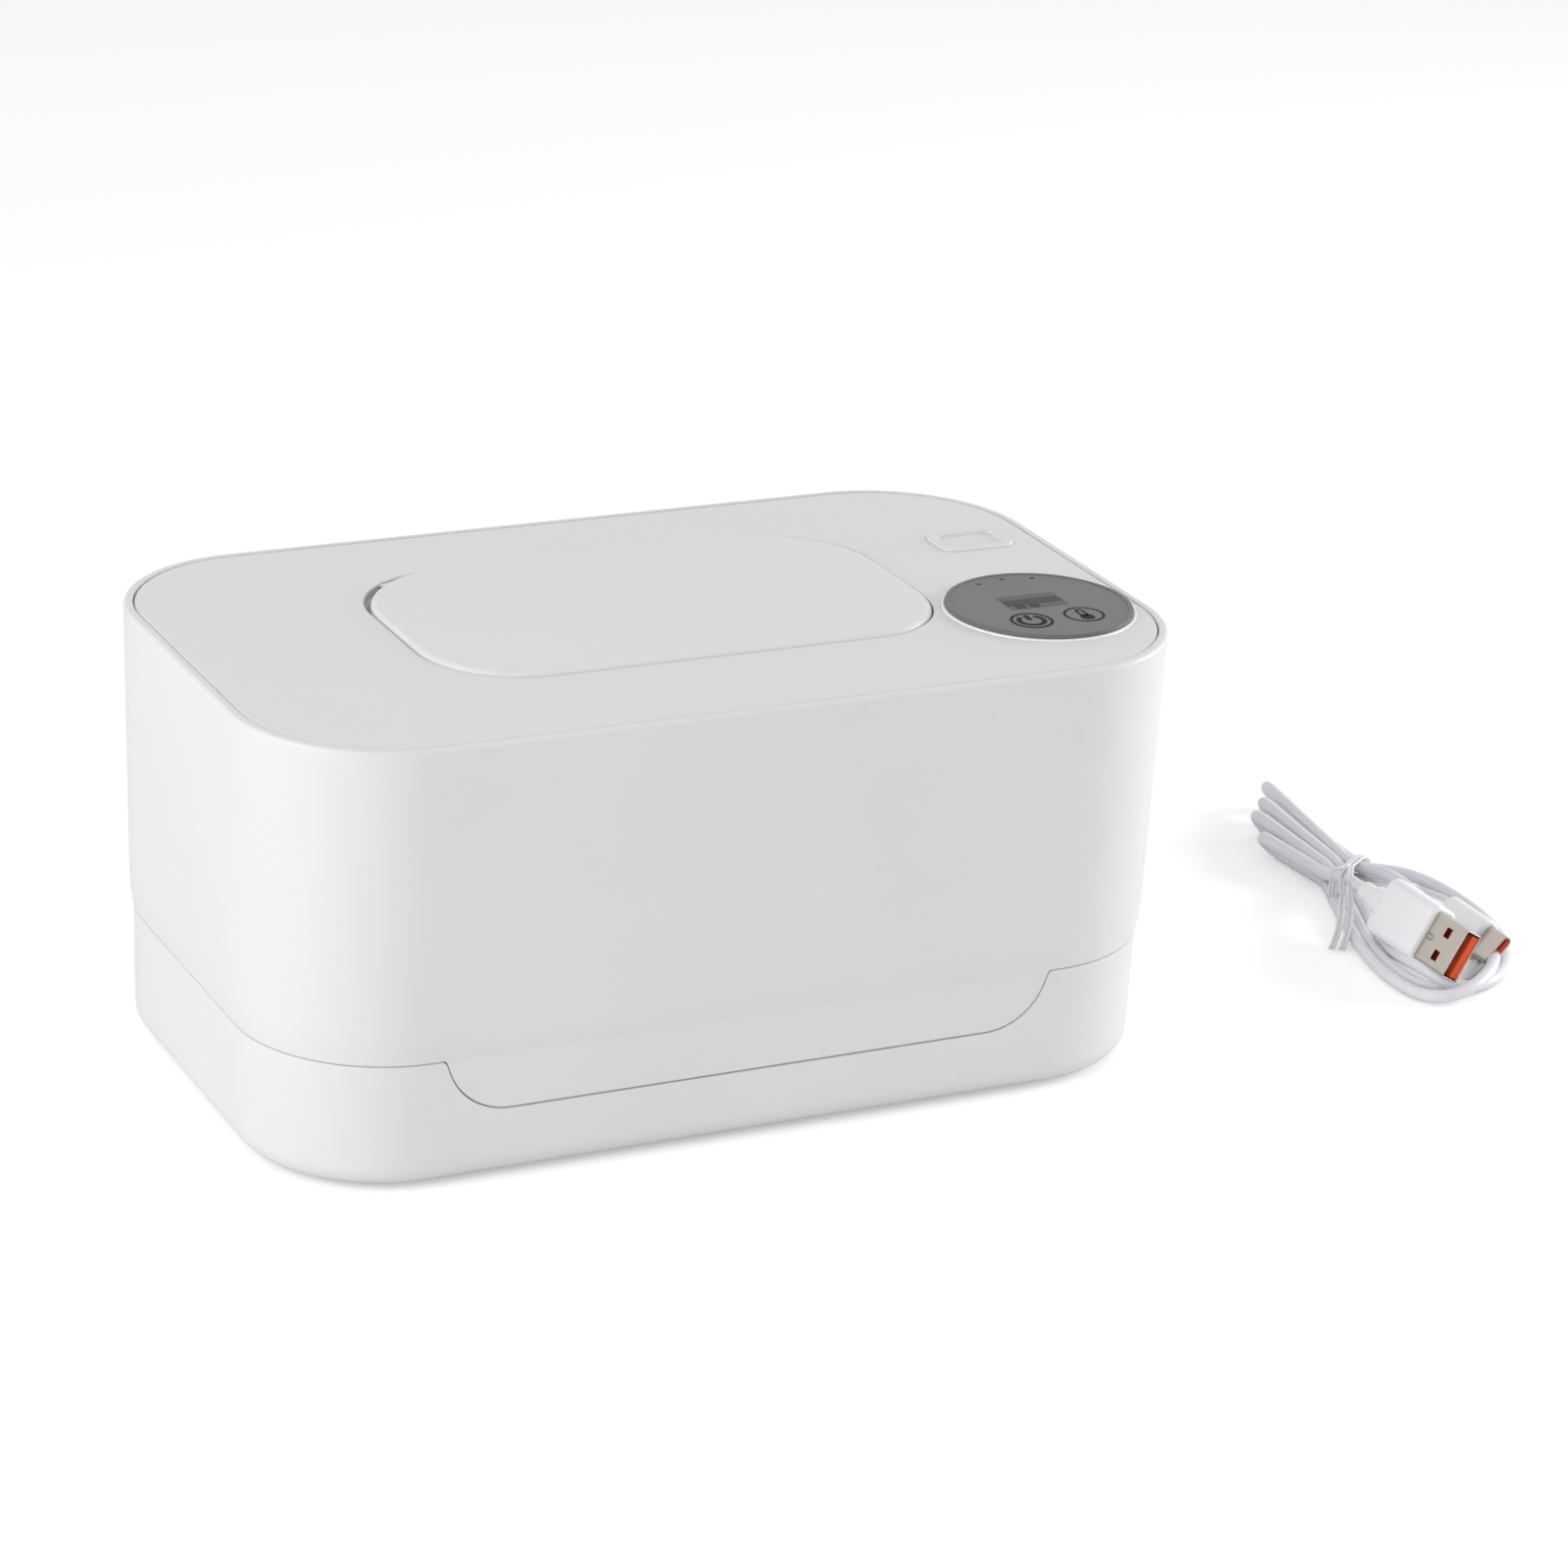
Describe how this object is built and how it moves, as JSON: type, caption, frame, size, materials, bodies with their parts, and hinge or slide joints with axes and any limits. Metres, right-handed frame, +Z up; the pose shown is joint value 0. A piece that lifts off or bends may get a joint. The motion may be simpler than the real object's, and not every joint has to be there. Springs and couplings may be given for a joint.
{
  "type": "baby wipe warmer",
  "caption": "Rounded white wipe warmer: shallow base, tall hinged heated cover with sprung dispensing flap and round touch panel, with its tied USB cable lying beside it.",
  "frame": {"origin": "on the table under the middle of the warmer, without the loose cable", "axes": "+X along the length towards the control panel, +Y to the rear hinge, +Z up"},
  "size_m": [0.3204, 0.134, 0.0983],
  "materials": {
    "white_shell": "satin moulded, fine spark texture",
    "white_cover": "satin moulded",
    "white_flap": "satin moulded",
    "white_tray": "natural polypropylene, satin",
    "white_liner": "satin polypropylene",
    "silicone": "soft translucent silicone",
    "foot_rubber": "soft grey rubber",
    "pin_steel": "ground steel",
    "magnet": "nickel-plated",
    "heater_aluminium": "rolled sheet",
    "heater_film": "amber polyimide film",
    "foam": "closed-cell foam",
    "panel_grey": "smoked, satin gloss",
    "panel_white": "gloss trim",
    "board_green": "solder mask",
    "chip_black": "epoxy",
    "display_black": "gloss",
    "light_guide": "clear acrylic",
    "copper_spring": "spring bronze",
    "wire_red": "silicone wire",
    "sensor": "epoxy bead",
    "screw_steel": "zinc-plated",
    "port_steel": "stainless",
    "latch_plastic": "acetal",
    "cable_white": "soft PVC",
    "tie_white": "plastic-coated wire",
    "plug_shell": "nickel plate",
    "plug_insert": "moulded insulator"
  },
  "bodies": {
    "base": {"base_tray": "white_shell", "wipes_tray": "white_tray", "base_gasket": "silicone", "rubber_feet": "foot_rubber", "housing_hinge_pins": "pin_steel", "catch_magnet": "magnet"},
    "housing": {"housing_shell": "white_shell", "top_cover": "white_cover", "mouth_frame": "white_cover", "mouth_membrane": "silicone", "inner_liner": "white_liner", "strike_plate": "pin_steel", "heater_plate": "heater_aluminium", "heater_film": "heater_film", "insulation_pad": "foam", "insulation_wrap": "foam", "latch_body": "latch_plastic", "panel_disc": "panel_grey", "panel_ring": "panel_white", "blank_badge": "white_cover", "control_board": "board_green", "board_components": "chip_black", "display_module": "display_black", "status_lamps": "light_guide", "light_guide": "light_guide", "touch_springs": "copper_spring", "port_board": "board_green", "usb_c_socket": "port_steel", "wire_harness": "wire_red", "temperature_sensor": "sensor", "thermal_fuse": "sensor", "board_screws": "screw_steel", "liner_screws": "screw_steel", "flap_spring": "pin_steel"},
    "flap": {"flap_lid": "white_flap", "flap_seal": "silicone", "flap_hinge_pin": "pin_steel", "flap_keeper": "pin_steel"},
    "latch": {"latch_plunger": "latch_plastic"},
    "usb_cable": {"cable_hank": "cable_white", "cable_tie": "tie_white", "cable_lead_a": "cable_white", "cable_lead_c": "cable_white", "usb_a_overmould": "cable_white", "usb_a_shell": "plug_shell", "usb_a_insert": "plug_insert", "usb_c_overmould": "cable_white", "usb_c_shell": "plug_shell", "usb_c_insert": "plug_insert"}
  },
  "joints": [
    {"name": "housing_hinge", "type": "hinge", "parent": "base", "child": "housing", "pos_m": [0, 0.0604, 0.02865], "axis": [-1, 0, 0], "range_deg": [0, 75]},
    {"name": "flap_hinge", "type": "hinge", "parent": "housing", "child": "flap", "pos_m": [0.002, 0.0346, 0.096], "axis": [-1, 0, 0], "range_deg": [0, 80]},
    {"name": "latch_travel", "type": "slide", "parent": "housing", "child": "latch", "axis": [0, 0, -1], "range_m": [0, 0.0013], "stiffness_N_per_m": 200, "springref_m": -0.002},
    {"name": "cable_lift", "type": "slide", "parent": "base", "child": "usb_cable", "axis": [0, 0, 1], "range_m": [0, 0.15]}
  ]
}
